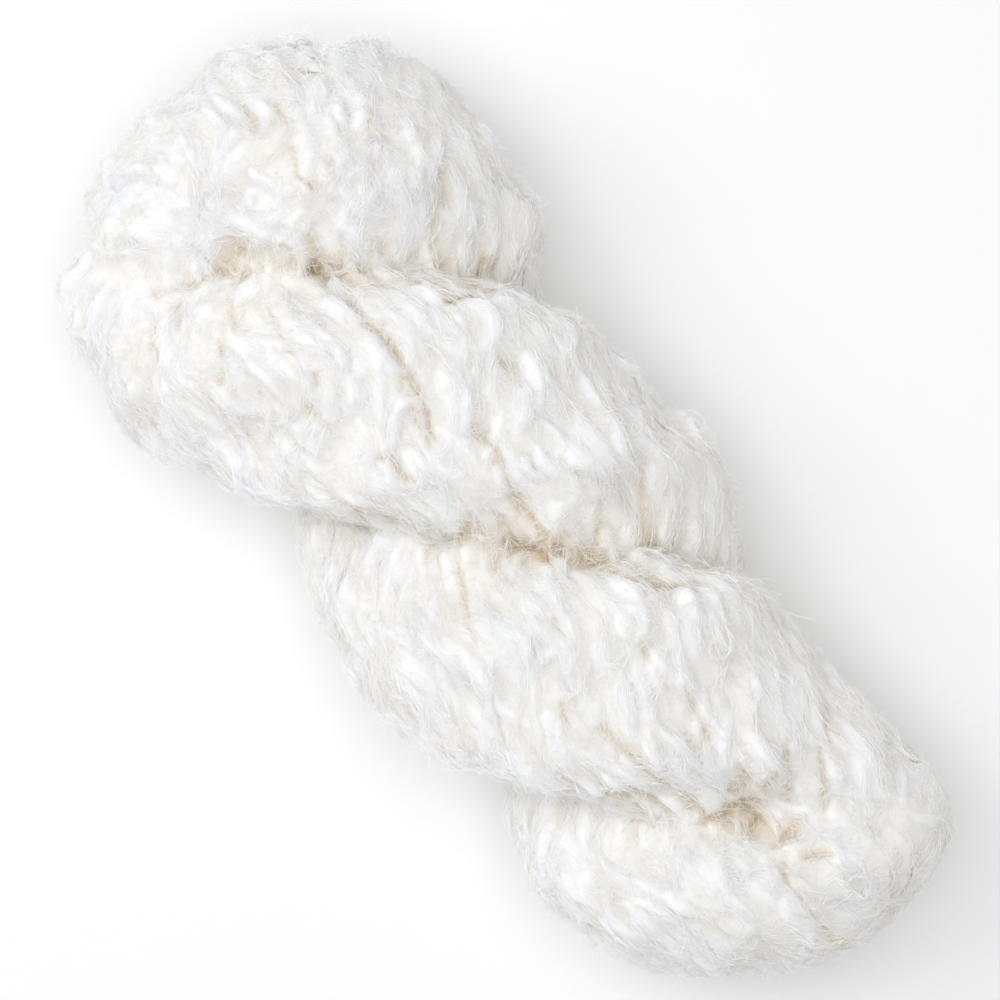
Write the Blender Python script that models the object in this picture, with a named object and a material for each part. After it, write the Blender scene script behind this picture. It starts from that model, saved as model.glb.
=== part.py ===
"""A twisted hank of fluffy boucle yarn, lying on its side, in metres, +Z up.

A ring of wound yarn is pulled out into two plies, side by side, with a bend at each end, and the
pair is twisted about its long axis. The hank lies along X. The origin is on the surface that it
rests on, below the middle of its box. It is one solid: the plies press together and nothing ties
them.

In the ring's own flat frame a place has x along the plies, v across them, from one ply to the
other, and w through the ring. The twist turns v and w about X. Locks of yarn are then raised on
the skin, and the hank's weight settles it on the surface.
"""

import math
from typing import NamedTuple

import bmesh
import bpy
import numpy as np

# The ring of yarn, before it is twisted
HALF_LENGTH = 0.1385  # from the middle to the furthest point of a bend
BEND_X = 0.094  # where the plies start to bend
PLY_OFFSET = 0.026  # from the axis to the middle of a ply
PLY_HALF_DEPTH = 0.0275  # of a ply, along v
PLY_HALF_BREADTH = 0.0425  # of a ply, along w
PRESSED_SHAPE = 3.4  # power of a ply's outline on the side that presses on the other ply
ROUND_SHAPE = 2.0  # and on its free side, where the outline is an ellipse
CREASE_SOFTNESS = 0.003  # how round the bottom of the crease between the plies is
BEND_STRETCH = (PLY_OFFSET + PLY_HALF_DEPTH) / (HALF_LENGTH - BEND_X)

# The twist: seen from above, a crease between the plies crosses the axis every half turn
HALF_TURN = 0.0855
MIDDLE_CREASE_X = 0.005
BEND_TURN = 0.15  # half turns that are left beyond the outer creases

# How the hank settles on the surface under it
SETTLED_HEIGHT = 0.84  # of its round height
AXIS_Z = 0.0375  # height of the axis
SOFT_EDGE = 0.005  # how gently the flattened underside turns up
SINK = 0.6 * SOFT_EDGE  # of what the softening lifts, so that the underside is flat

# Locks of yarn, which wind round each ply the other way from the twist
LOCKS_ROUND_PLY = 20
LOCK_TURNS = 5.6  # of a lock round its ply, all the way round the ring
TIP_FADE = 0.009  # length over which the locks fade out at each tip

# The mesh: columns run the length of the hank, and rows go round it
COLUMNS = 80
STRAIGHT_ROWS = 51
BEND_ROWS = 12
SEARCH_STEPS = 400
SEARCH_REACH = 0.080  # from the axis to a place outside the widest section

YARN_COLOUR = (0.90, 0.87, 0.82, 1.0)
YARN_ROUGHNESS = 0.95


class Section(NamedTuple):
    """How the hank departs from an even twist at one place along X."""

    x: float
    girth: float  # times the even section
    drift: float  # sideways, along Y


SECTIONS = (
    Section(x=-0.140, girth=1.07, drift=0.007),
    Section(x=-0.105, girth=1.05, drift=0.001),
    Section(x=-0.080, girth=1.08, drift=0.000),
    Section(x=-0.055, girth=1.01, drift=0.005),
    Section(x=-0.037, girth=0.96, drift=0.003),
    Section(x=-0.018, girth=0.93, drift=0.001),
    Section(x=0.010, girth=0.99, drift=0.000),
    Section(x=0.045, girth=0.95, drift=0.001),
    Section(x=0.075, girth=0.87, drift=-0.004),
    Section(x=0.108, girth=0.87, drift=0.003),
    Section(x=0.140, girth=0.95, drift=0.014),
)


class Wave(NamedTuple):
    """A wave over the plies' skin, with a whole number of crests each way.

    Its crests wind round the plies against the twist.
    """

    along_ring: int
    round_ply: int
    height: float


WAVES = (
    Wave(along_ring=round(LOCKS_ROUND_PLY * LOCK_TURNS), round_ply=LOCKS_ROUND_PLY, height=0.0015),
    Wave(along_ring=94, round_ply=17, height=0.0006),
    Wave(along_ring=60, round_ply=9, height=0.0005),
    Wave(along_ring=37, round_ply=3, height=0.0006),
    Wave(along_ring=9, round_ply=5, height=0.0006),
)


class Tuft(NamedTuple):
    """A loop of yarn that stands proud of the hank."""

    x: float
    angle: float  # degrees round the hank, from +Y towards +Z
    width: float
    reach: float


TUFTS = (
    Tuft(x=-0.130, angle=20.0, width=0.005, reach=0.004),
    Tuft(x=-0.113, angle=13.0, width=0.007, reach=0.007),
    Tuft(x=-0.056, angle=10.0, width=0.008, reach=0.006),
    Tuft(x=0.011, angle=6.0, width=0.009, reach=0.003),
    Tuft(x=0.036, angle=3.0, width=0.009, reach=0.003),
    Tuft(x=-0.117, angle=172.0, width=0.006, reach=0.005),
    Tuft(x=-0.078, angle=184.0, width=0.009, reach=0.003),
)


def section_value(x, column):
    """A column of SECTIONS at x, on a smooth curve through the rows."""
    places = np.array([row.x for row in SECTIONS])
    values = np.array([getattr(row, column) for row in SECTIONS])
    slopes = np.gradient(values, places)
    after = np.clip(np.searchsorted(places, x), 1, len(SECTIONS) - 1)
    step = places[after] - places[after - 1]
    share = (x - places[after - 1]) / step
    near, far = values[after - 1], values[after]
    leaving, arriving = step * slopes[after - 1], step * slopes[after]
    eased = share * share * (3 - 2 * share)
    swing = share * (1 - share) * ((1 - share) * leaving - share * arriving)
    return near + eased * (far - near) + swing


def twist_angle(x):
    """How far the plies have turned about X: evenly, and then hardly at all in the bends."""
    turned = (x - MIDDLE_CREASE_X) / HALF_TURN
    beyond = np.maximum(np.abs(turned) - 1, 0)
    even = np.clip(turned, -1, 1)
    return math.pi * (even + np.sign(turned) * BEND_TURN * (1 - np.exp(-beyond / BEND_TURN)))


def row_places():
    """The rows' places along X, from one bend's tip to the other's, closer near the tips."""
    turn = np.linspace(0, math.pi / 2, BEND_ROWS + 1)[1:-1]
    bend = BEND_X + (HALF_LENGTH - BEND_X) * np.sin(turn)
    straight = np.linspace(-BEND_X, BEND_X, STRAIGHT_ROWS)
    return np.concatenate([-bend[::-1], straight, bend])


def ring_place(x, v, w):
    """How far round the ring's middle line a place is, and its angle round the ply.

    The line runs along one ply, round the +X bend, back along the other ply and round the -X bend.
    The third value is under 1 inside the ply and over 1 outside it.
    """
    past = BEND_STRETCH * np.maximum(np.abs(x) - BEND_X, 0)
    off_line = np.sqrt(past * past + v * v + CREASE_SOFTNESS**2) - PLY_OFFSET
    depth, breadth = off_line / PLY_HALF_DEPTH, w / PLY_HALF_BREADTH
    turned = np.arctan2(past, v)  # 0 on the first ply, and pi on the other
    bend_length, ply_length = math.pi * PLY_OFFSET, 2 * BEND_X
    on_ply = np.where(v > 0, x + BEND_X, ply_length + bend_length + BEND_X - x)
    far_bend = ply_length + turned * PLY_OFFSET
    near_bend = 2 * ply_length + bend_length + (math.pi - turned) * PLY_OFFSET
    along = np.where(past == 0, on_ply, np.where(x > 0, far_bend, near_bend))
    shape = np.where(depth < 0, PRESSED_SHAPE, ROUND_SHAPE)
    reach = (np.abs(depth) ** shape + np.abs(breadth) ** shape) ** (1 / shape)
    return along, np.arctan2(breadth, depth), reach


def skin_radius(x, around):
    """The furthest distance from the axis that is still inside a ply."""
    best = np.zeros_like(x + around)
    for radius in np.linspace(0, SEARCH_REACH, SEARCH_STEPS):
        inside = ring_place(x, radius * np.cos(around), radius * np.sin(around))[2] <= 1
        best = np.where(inside, radius, best)
    return best


def lock_relief(along, round_ply):
    """How far the locks and the larger lumps of yarn stand proud of the skin."""
    ring_length = 4 * BEND_X + 2 * math.pi * PLY_OFFSET
    turned = 2 * math.pi * along / ring_length
    return sum(w.height * np.cos(w.round_ply * round_ply - w.along_ring * turned) for w in WAVES)


def tuft_reach(x, angle):
    """How far the proud loops of yarn reach at each place on the skin."""
    reach = np.zeros_like(x + angle)
    for tuft in TUFTS:
        turned = np.angle(np.exp(1j * (angle - math.radians(tuft.angle))))
        away = np.hypot(x - tuft.x, turned * 2 * PLY_OFFSET) / tuft.width
        reach += tuft.reach * np.exp(-away * away)
    return reach


def pressed_height(z):
    """Height above the surface: squashed, and flattened where the yarn bears on it."""
    height = AXIS_Z + SETTLED_HEIGHT * z
    return max(SOFT_EDGE * np.logaddexp(0, height / SOFT_EDGE) - SINK, 0.0)


def skin_rows():
    """The round skin's places, by row and column, and how far each is to be raised."""
    x = row_places()[:, None]
    angle = np.linspace(0, 2 * math.pi, COLUMNS, endpoint=False)[None, :]
    around = angle + twist_angle(x)
    radius = skin_radius(x, around)
    along, round_ply, _ = ring_place(x, radius * np.cos(around), radius * np.sin(around))
    tip_fade = np.clip((HALF_LENGTH - np.abs(x)) / TIP_FADE, 0, 1)
    raised = tip_fade * (lock_relief(along, round_ply) + tuft_reach(x, angle))
    radius = radius * section_value(x, "girth")
    y = radius * np.cos(angle) + section_value(x, "drift")
    z = radius * np.sin(angle)
    return np.stack([np.broadcast_to(x, y.shape), y, z], axis=2), raised


def skin_mesh(name):
    """The closed skin: rows bridged to each other, and a fan of faces at each tip."""
    mesh = bmesh.new()
    places, raised = skin_rows()
    rows = [[mesh.verts.new(place) for place in row] for row in places]
    for row, following in zip(rows, rows[1:]):
        for i in range(COLUMNS):
            j = (i + 1) % COLUMNS
            mesh.faces.new((row[i], row[j], following[j], following[i]))
    for row, x in ((rows[0], -HALF_LENGTH), (rows[-1], HALF_LENGTH)):
        tip = mesh.verts.new((x, section_value(x, "drift"), 0.0))
        for i, vertex in enumerate(row):
            mesh.faces.new((tip, vertex, row[(i + 1) % COLUMNS]))
    bmesh.ops.recalc_face_normals(mesh, faces=mesh.faces)
    mesh.normal_update()
    for row, lifts in zip(rows, raised):
        for vertex, lift in zip(row, lifts):
            vertex.co += vertex.normal * lift
    for vertex in mesh.verts:
        vertex.co.z = pressed_height(vertex.co.z)
    bmesh.ops.triangulate(mesh, faces=mesh.faces, quad_method="SHORT_EDGE")
    data = bpy.data.meshes.new(name)
    mesh.to_mesh(data)
    mesh.free()
    return data


def centred(data):
    """Moves the mesh so that the middle of its box is over the origin."""
    places = np.array([vertex.co for vertex in data.vertices])
    middle = (places.min(axis=0) + places.max(axis=0)) / 2
    for vertex in data.vertices:
        vertex.co.x -= middle[0]
        vertex.co.y -= middle[1]


def yarn_material():
    material = bpy.data.materials.new("yarn")
    material.use_nodes = True
    shader = material.node_tree.nodes["Principled BSDF"]
    shader.inputs["Base Color"].default_value = YARN_COLOUR
    shader.inputs["Roughness"].default_value = YARN_ROUGHNESS
    shader.inputs["Metallic"].default_value = 0.0
    return material


def make_hank():
    data = skin_mesh("hank")
    centred(data)
    data.shade_smooth()
    data.materials.append(yarn_material())
    bpy.context.scene.collection.objects.link(bpy.data.objects.new("hank", data))


def main():
    for obj in list(bpy.data.objects):
        bpy.data.objects.remove(obj)
    make_hank()


main()
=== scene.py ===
"""A twisted hank of fluffy boucle merino yarn: its looks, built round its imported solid, in metres.

Fleece covers the solid: one closed surface, raised wherever a lock of wool lies along the
strands of yarn, and sunk in the gaps between them. Wisps and small curls of yarn lie on the
fleece. Fibres are combed along the locks, the wisps and the curls, and fuzz and stray fibres
stand proud of them all.
"""

import math
from typing import NamedTuple

import bmesh
import bpy
import numpy as np
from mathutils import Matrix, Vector
from mathutils.bvhtree import BVHTree
from mathutils.kdtree import KDTree


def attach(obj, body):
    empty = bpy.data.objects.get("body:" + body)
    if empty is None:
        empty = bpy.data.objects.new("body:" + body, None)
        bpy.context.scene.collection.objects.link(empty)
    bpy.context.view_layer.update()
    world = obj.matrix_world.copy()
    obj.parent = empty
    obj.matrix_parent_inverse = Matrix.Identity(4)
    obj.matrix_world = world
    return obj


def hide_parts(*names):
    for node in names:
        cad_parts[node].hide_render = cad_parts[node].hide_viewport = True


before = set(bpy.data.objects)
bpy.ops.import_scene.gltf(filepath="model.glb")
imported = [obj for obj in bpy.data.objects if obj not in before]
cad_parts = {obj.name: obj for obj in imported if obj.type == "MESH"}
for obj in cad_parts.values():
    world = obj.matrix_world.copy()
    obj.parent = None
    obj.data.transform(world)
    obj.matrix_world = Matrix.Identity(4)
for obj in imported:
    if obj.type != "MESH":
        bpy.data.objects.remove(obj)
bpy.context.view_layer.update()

Array = np.ndarray

NODE = "hank"
BODY = "root"
SEED = 11

# The ring of yarn before it is twisted, as in the solid
HALF_LENGTH = 0.1385
BEND_X = 0.094
PLY_OFFSET = 0.026
PLY_HALF_DEPTH = 0.0275
PLY_HALF_BREADTH = 0.0425
BEND_STRETCH = (PLY_OFFSET + PLY_HALF_DEPTH) / (HALF_LENGTH - BEND_X)
RING_LENGTH = 4 * BEND_X + 2 * math.pi * PLY_OFFSET

# Its twist, and how it settles, as in the solid
HALF_TURN = 0.0855
MIDDLE_CREASE_X = 0.005
BEND_TURN = 0.15
SETTLED_HEIGHT = 0.84
AXIS_Z = 0.0375

# The strands of yarn, which wind round each ply the other way from the twist
STRANDS_ROUND_PLY = 20
STRAND_TURNS = 5.6
SLOPE_STEP = 0.0008  # over which the strands' slope is measured

WELD_DIGITS = 7  # decimals to which vertices agree that are one vertex

# Rays that test how much sky is open over the skin
SKY_RAYS = 24
SKY_START = 0.0006  # height over the skin that the rays start from
SKY_REACH = 0.030
ANY_WAY = (0.31, 0.47, 0.83)  # from which each place's side way is made

WANDER_WAVES = 9  # in a value that wanders
WAVE_SPREAD = (0.6, 1.4)  # of their lengths

FLOOR_GAP = 0.0004  # between the surface that it rests on and the lowest wool


class Section(NamedTuple):
    """How the hank departs from an even twist at one place along X, as in the solid."""

    x: float
    girth: float
    drift: float


SECTIONS = (
    Section(-0.140, 1.07, 0.007),
    Section(-0.105, 1.05, 0.001),
    Section(-0.080, 1.08, 0.000),
    Section(-0.055, 1.01, 0.005),
    Section(-0.037, 0.96, 0.003),
    Section(-0.018, 0.93, 0.001),
    Section(0.010, 0.99, 0.000),
    Section(0.045, 0.95, 0.001),
    Section(0.075, 0.87, -0.004),
    Section(0.108, 0.87, 0.003),
    Section(0.140, 0.95, 0.014),
)

# Where the wool is calm: its locks are lower, and its fibres lie smoother
CALM_SIDE = (0.63, 0.78, 0.0)  # the way that the hank's smoother side faces
CALM_FROM = 0.25  # cosine of the turn from that way at which the calm starts
CALM_BLEND = 0.5
CALM_SIDE_CUT = 0.65  # how much calmer it is there
CALM_TIP = (0.125, 0.020)  # the middle of the smooth end, seen from above
CALM_TIP_RADIUS = 0.034
CALM_TIP_CUT = 0.55
MOOD_SPACING = 0.030  # between lively and calm patches of wool
MOOD_SWING = 0.25

# Locks of wool
LOCK_TRIES = 24000
LOCKS_ALONG = 0.0100  # between locks, along the strands
LOCKS_APART = 0.0038  # and across them
LOCK_LENGTHS = (0.011, 0.025)
LOCK_HEIGHTS = (0.0008, 0.0027)  # that they raise the fleece
LOCK_LIVELINESS = (0.25, 1.3)  # at the calmest and the liveliest places
NARROWEST_LOCK = 0.0032
LOCK_WIDTH_RANGE = 0.0046
FEW_WIDE = 1.5  # power that makes wide locks rarer
LOCK_CURL = 0.9  # radians
LOCK_SWERVE = 0.35
CREST_CHOICE = 0.25  # how much more a lock likes the top of a strand
RUN_ON = 0.7  # share of the locks that run towards the +X end

# Wisps, which are thin locks on the fleece
WISP_TRIES = 60000
WISPS_ALONG = 0.0080
WISPS_APART = 0.0029
WISPS_BELOW = 0.25  # share that is kept on the underside
UNDERSIDE = -0.75  # height of the skin's normal there
WISP_LENGTHS = (0.009, 0.020)
WISP_WIDTHS = (0.0012, 0.0034)
WISP_PROUD = (0.0003, 0.0018)
WISP_CURL = 0.35  # radians, of a plain wisp
WISP_SWERVE = 0.45
BENT_SHARE = 0.35  # of the wisps that bend or curl right round
BENT_CURLS = (0.8, 2.6)
RINGLET_SHARE = 0.09  # of the wisps that curl right round
RINGLET_CURLS = (3.6, 5.8)
RINGLET_WIDTH = 0.0016
CURL_TURN = 5.6  # radians that a placed curl goes round
CURL_WIDTH = 0.0017
CURL_PROUD = 0.0019
OVERHEAD = 1.0  # height from which the skin under a curl is looked for

# How a lock or a wisp lies along its strand
LOCK_STEPS = 10
SAMPLES_ALONG = 26
CURLED_FROM = 0.3  # share of a lock's length after which it curls
FLOW_SPACING = 0.032
FLOW_SWING = 0.48  # radians that the locks' flow wanders from the strands'
THICKEST_AT = 0.8  # power that moves a lock's thickest place towards its root
BLUNTNESS = 0.75  # power that fills out its two ends

# Fleece
FLEECE_CUTS = 3  # that each edge of the solid is cut with
BASE_DEPTH = 0.0026  # under the solid's skin, between the locks
CREASE_FILL = 1.5  # how soon the fleece gets shallower in a crease
SHALLOWEST = 0.2  # share of the depth that is left at the bottom of one
LOWEST_LOCKS = 0.4  # share of a lock's height that is left there
HIGHEST = 0.0030  # over the solid's skin
LARGEST_HALF_WIDTH = 0.0046  # of a lock
THINNEST_HALF_WIDTH = 0.0005
LOCK_BLEND = 4  # power with which locks blend where they meet
BLEND_GAIN = 1.35  # how much higher that makes them
LUMP_SPACING = 0.024
LUMP_HEIGHT = 0.0006
RELIEF_CUT = 0.60  # share of the solid's small relief that is evened out
CALM_RELIEF_CUT = 0.95
EVENING_ROUNDS = 3
TIP_FADE = 0.010  # from a tip, where the relief stays as it is
GAP_DEPTH = 0.0016  # of the darkest gap
GAP_FLATTENS = 0.7
SHAPED_OVER = 0.012  # height that gaps and bulges are over

# Where the hank bears on the surface: heights above it
FACING_DOWN = -0.5  # height of the skin's normal
DEPTH_BELOW = 0.0008
BEARING_UP_TO = 0.001
BEARING_BLEND = 0.006
LOCKS_OVER = 0.003  # lower than this the locks are pressed flat
PRESSED_FADE = 0.012
FLATTEST = 0.1  # share of a lock's height that is left
PRESSED_ROUNDS = 24  # of evening out

# The fleece's painted shade: darker in creases, in gaps and between the locks, lighter on locks in
# the open
# Painted shade in creases, from how little sky is open over the skin
PAINTED_LIGHT_BY_SKY = 1.7
CREASE_DARKENS = 0.25
FLANK_FROM = 0.012  # from the axis, on a flank where the creases' painted shade turns pale
FLANK_BLEND = 0.020
FLANK_LIGHTENS = 0.6
PAINTED_LIGHT_BETWEEN = 0.60  # how light the fleece is painted between the locks, as painted shade
PAINTED_LIGHT_RISE = 0.0012  # height of a lock at which the painted shade between the locks is gone

# Fibres, which are thin tubes with a point at each end
FIBRE_SIDES = 3
SHARPEST_BEND = 1.1  # radians that one fibre follows a curl
STRAIGHT = 0.1  # radians under which a lock counts as hardly curled
FEWEST_FIBRES = 3  # on a lock
CURLS_GET_MORE = 0.6  # fibres for each radian
NARROWS_GET_MORE = 0.8  # power of a lock's width
BEFORE_ROOT = 0.05  # share of a lock's length
PAST_TIP = 0.08
THINNEST_SHARE = 0.3  # of a lock's width, over which fibres spread at its ends
WAVER = 0.3  # of a fibre's splay, at each of its points
PROUD_ARCH = 0.7  # power of the arch that a proud lock's fibres make
HIGHEST_ABOVE = 0.0005  # over the lock
LIFT_SHAPE = 1.2  # of the tips' spread of lifts: lower for a few tall ones
CALM_LIFT = 0.4  # share of a lift that is left where the wool is calm
STAND_SHAPE = 1.5
CALM_STAND = 0.5
LOOSE_FACING = (-1.3, 0.1)  # height of the normal at which none and all are kept
LOOSE_LENGTHS = (0.6, 1.4)  # shares of their length
LOOSE_DEPTH = 0.0003  # over or under the fleece that they start
ARCH_TURNS = (0.45, 1.0)  # half turns of the arch that they make
FIBRE_RADII = (0.7, 1.3)  # shares of their radius
MAP_EDGE = 0.01
RING_CURL = 3  # radians over which a lock is a ring, whose fibres get a painted highlight
RING_PAINTED_HIGHLIGHT = 0.15
FIBRE_PAINTED_LIGHT = 0.80  # share of the fleece's painted shade that a fibre takes
# How much lighter fibres are painted than the fleece's painted shade under them
COMBED_LIGHTER = 0.22
LOOSE_LIGHTER = 0.2
TINT_SPREAD = 0.06
MAP = "OFBake"  # the name of the fibres' map, through which their colours are read
MOST_TRIANGLES = 190000  # in a piece


# --- Vectors ---


def unit(vectors):
    return vectors / np.maximum(np.linalg.norm(vectors, axis=-1, keepdims=True), 1e-12)


def dot(a, b):
    return np.sum(a * b, axis=-1, keepdims=True)


def across(vectors, normals):
    """The vectors with their part along the normals taken out, one metre long."""
    return unit(vectors - normals * dot(vectors, normals))


# --- Surfaces ---


def numbers(items, key, each=3, kind=float):
    """One property of all the items, as an array with a row for each."""
    values = np.empty(len(items) * each, dtype=kind)
    items.foreach_get(key, values)
    return values.reshape(-1, each)


def triangle_corners(mesh):
    mesh.calc_loop_triangles()
    return numbers(mesh.loop_triangles, "vertices", kind=np.int32)


class Spots(NamedTuple):
    """Places on a surface."""

    place: Array
    normal: Array
    values: Array

    def only(self, chosen):
        return Spots(*(values[chosen] for values in self))


class Surface:
    """A mesh with smooth normals and some values at each vertex."""

    def __init__(self, places, corners, normals, values):
        self.places = places
        self.corners = corners
        self.normals = normals
        self.values = values
        a, b, c = places[corners.T]
        self.areas = np.linalg.norm(np.cross(b - a, c - a), axis=1) / 2
        self.tree = BVHTree.FromPolygons(places.tolist(), corners.tolist())

    def spots(self, triangles, shares):
        """Places given by their triangles and their corners' shares of them."""
        place, normal, values = (
            np.sum(field[self.corners[triangles]] * shares[..., None], axis=1)
            for field in (self.places, self.normals, self.values)
        )
        return Spots(place, unit(normal), values)

    def scatter(self, count, rng):
        """Spots spread evenly, at random."""
        triangles = rng.choice(len(self.areas), size=count, p=self.areas / self.areas.sum())
        u, v = np.sqrt(rng.random(count)), rng.random(count)
        return self.spots(triangles, np.stack([1 - u, u * (1 - v), u * v], axis=1))

    def nearest(self, places):
        """The nearest spots to these places."""
        feet, _, triangles, _ = zip(*(self.tree.find_nearest(Vector(place)) for place in places))
        feet, triangles = np.array(feet), np.array(triangles)
        a, b, c = self.places[self.corners[triangles].T]
        facing = ((b, c), (c, a), (a, b))
        parts = [np.linalg.norm(np.cross(p - feet, q - feet), axis=1) for p, q in facing]
        shares = np.stack(parts, axis=1)
        return self.spots(triangles, shares / shares.sum(axis=1, keepdims=True))


def sky_rays():
    """Ways to look up from a flat place, more of them straight up, as a matt surface is lit."""
    index = np.arange(SKY_RAYS) + 0.5
    rise = np.sqrt(1 - index / SKY_RAYS)
    turn = index * math.pi * (3 - math.sqrt(5))
    level = np.sqrt(1 - rise * rise)
    return np.stack([level * np.cos(turn), level * np.sin(turn), rise], axis=1)


def open_sky(surface):
    """The share of the sky over each vertex that the surface leaves open."""
    side = across(np.array(ANY_WAY), surface.normals)
    other = np.cross(surface.normals, side)
    starts = surface.places + surface.normals * SKY_START
    open_rays = np.zeros(len(starts))
    for ray in sky_rays():
        ways = side * ray[0] + other * ray[1] + surface.normals * ray[2]
        for i, (start, way) in enumerate(zip(starts, ways)):
            open_rays[i] += surface.tree.ray_cast(Vector(start), Vector(way), SKY_REACH)[0] is None
    return open_rays / SKY_RAYS


def evened(places, edges, share, rounds):
    """The places, after each has moved its share of the way to its neighbours' middle."""
    edges = np.concatenate([edges, edges[:, ::-1]])
    edges = edges[share[edges[:, 0]] > 0]
    neighbours = np.maximum(np.bincount(edges[:, 0], minlength=len(places)), 1)[:, None]
    for _ in range(rounds):
        total = np.zeros_like(places)
        np.add.at(total, edges[:, 0], places[edges[:, 1]])
        places = places + share[:, None] * (total / neighbours - places)
    return places


def small_relief(places, corners, normals):
    """How far each vertex stands proud of its surroundings, once they are evened out."""
    edges = np.concatenate([corners[:, pair] for pair in ([0, 1], [1, 2], [2, 0])])
    even = evened(places, edges, np.ones(len(places)), EVENING_ROUNDS)
    relief = dot(places - even, normals)[:, 0]
    from_tip = HALF_LENGTH - np.abs(places[:, 0])
    return (relief - np.median(relief)) * np.clip(from_tip / TIP_FADE, 0, 1)


def solid_skin(node):
    """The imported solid's skin.

    Its values are the share of the sky that is open, which is low in a crease, and how far it
    stands proud of its surroundings.
    """
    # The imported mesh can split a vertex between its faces
    places = numbers(node.data.vertices, "co").round(WELD_DIGITS)
    places, welded = np.unique(places, axis=0, return_inverse=True)
    corners = welded.reshape(-1)[triangle_corners(node.data)]
    a, b, c = places[corners.T]
    normals = np.zeros_like(places)
    for corner in corners.T:
        np.add.at(normals, corner, np.cross(b - a, c - a))
    normals = unit(normals)
    skin = Surface(places, corners, normals, np.zeros((len(places), 2)))
    skin.values = np.stack([open_sky(skin), small_relief(places, corners, normals)], axis=1)
    return skin


class Wander(NamedTuple):
    """A value, mostly between -1 and 1, that changes smoothly from place to place."""

    ways: Array
    phases: Array

    def at(self, places):
        return np.sin(places @ self.ways.T + self.phases).mean(axis=-1) * WANDER_WAVES**0.5


def make_wander(wavelength, rng):
    ways = unit(rng.normal(0, 1, (WANDER_WAVES, 3))) * rng.uniform(*WAVE_SPREAD, (WANDER_WAVES, 1))
    return Wander(ways * 2 * math.pi / wavelength, rng.uniform(0, 2 * math.pi, WANDER_WAVES))


# --- Which way the strands run ---


def twist_angle(x):
    """How far the plies have turned about X: evenly, and then hardly at all in the bends."""
    turned = (x - MIDDLE_CREASE_X) / HALF_TURN
    beyond = np.maximum(np.abs(turned) - 1, 0)
    even = np.clip(turned, -1, 1)
    return math.pi * (even + np.sign(turned) * BEND_TURN * (1 - np.exp(-beyond / BEND_TURN)))


def section_value(x, column):
    places = [row.x for row in SECTIONS]
    return np.interp(x, places, [getattr(row, column) for row in SECTIONS])


def ring_place(x, v, w):
    """How far round the ring's middle line a place is, and its angle round the ply."""
    past = BEND_STRETCH * np.maximum(np.abs(x) - BEND_X, 0)
    off_line = np.hypot(past, v) - PLY_OFFSET
    turned = np.arctan2(past, v)
    bend_length, ply_length = math.pi * PLY_OFFSET, 2 * BEND_X
    on_ply = np.where(v > 0, x + BEND_X, ply_length + bend_length + BEND_X - x)
    far_bend = ply_length + turned * PLY_OFFSET
    near_bend = 2 * ply_length + bend_length + (math.pi - turned) * PLY_OFFSET
    along = np.where(past == 0, on_ply, np.where(x > 0, far_bend, near_bend))
    return along, np.arctan2(w / PLY_HALF_BREADTH, off_line / PLY_HALF_DEPTH)


def strand_phase(places, axis_y):
    """A phase that is the same all along a strand, and 0 on its top."""
    x = places[..., 0]
    girth = section_value(x, "girth")
    y = (places[..., 1] - axis_y - section_value(x, "drift")) / girth
    z = (places[..., 2] - AXIS_Z) / (SETTLED_HEIGHT * girth)
    turn = twist_angle(x)
    v = y * np.cos(turn) - z * np.sin(turn)
    w = y * np.sin(turn) + z * np.cos(turn)
    along, round_ply = ring_place(x, v, w)
    strands_along = STRANDS_ROUND_PLY * STRAND_TURNS
    return STRANDS_ROUND_PLY * round_ply - strands_along * 2 * math.pi * along / RING_LENGTH


def strand_ways(places, normals, axis_y):
    """Which way the strands run along the skin, always towards the +X end."""
    slopes = []
    for step in np.eye(3) * SLOPE_STEP:
        ahead = strand_phase(places + step, axis_y)
        behind = strand_phase(places - step, axis_y)
        slopes.append(np.angle(np.exp(1j * (ahead - behind))))
    ways = unit(np.cross(normals, np.stack(slopes, axis=-1)))
    return ways * np.where(ways[..., :1] < 0, -1, 1)


# --- Locks of wool ---


class Locks(NamedTuple):
    """Many locks: an array for each of their properties, with a row for each lock."""

    root: Array
    sense: Array  # 1 where it runs towards the +X end, and -1 where it runs back
    length: Array
    width: Array
    height: Array  # that it raises the fleece
    proud: Array  # that its fibres lie above the fleece
    curl: Array  # radians that its far end curls round
    swerve: Array  # radians that it starts to one side of its way, and ends to the other
    lively: Array  # under 1 where its fibres lie smoother


class Paths(NamedTuple):
    """The locks' middle lines along the skin, and the ways along and across them."""

    middle: Array
    way: Array
    side: Array


def spaced_places(places, ways, order, along, apart):
    """Which places to keep so that they are spaced along the strands and across them."""
    cells = {}
    kept = []
    around = [(i, j, k) for i in (-1, 0, 1) for j in (-1, 0, 1) for k in (-1, 0, 1)]
    for index in order:
        home = tuple(np.floor(places[index] / along).astype(int))
        beside = [(home[0] + i, home[1] + j, home[2] + k) for i, j, k in around]
        near = [n for cell in beside for n in cells.get(cell, ())]
        if near:
            gaps = places[near] - places[index]
            lengthways = gaps @ ways[index]
            sideways = np.maximum(np.sum(gaps * gaps, axis=1) - lengthways**2, 0)
            if np.min((lengthways / along) ** 2 + sideways / apart**2) < 1:
                continue
        cells.setdefault(home, []).append(index)
        kept.append(index)
    return np.array(kept)


def liveliness(spots):
    """How lively the wool is at each spot: under 1 where it lies smoother."""
    turned = np.clip((spots.normal @ CALM_SIDE - CALM_FROM) / CALM_BLEND, 0, 1)
    away = np.hypot(*(spots.place[:, :2] - CALM_TIP).T) / CALM_TIP_RADIUS
    return (1 - CALM_SIDE_CUT * turned) * (1 - CALM_TIP_CUT * np.exp(-away * away))


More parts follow.
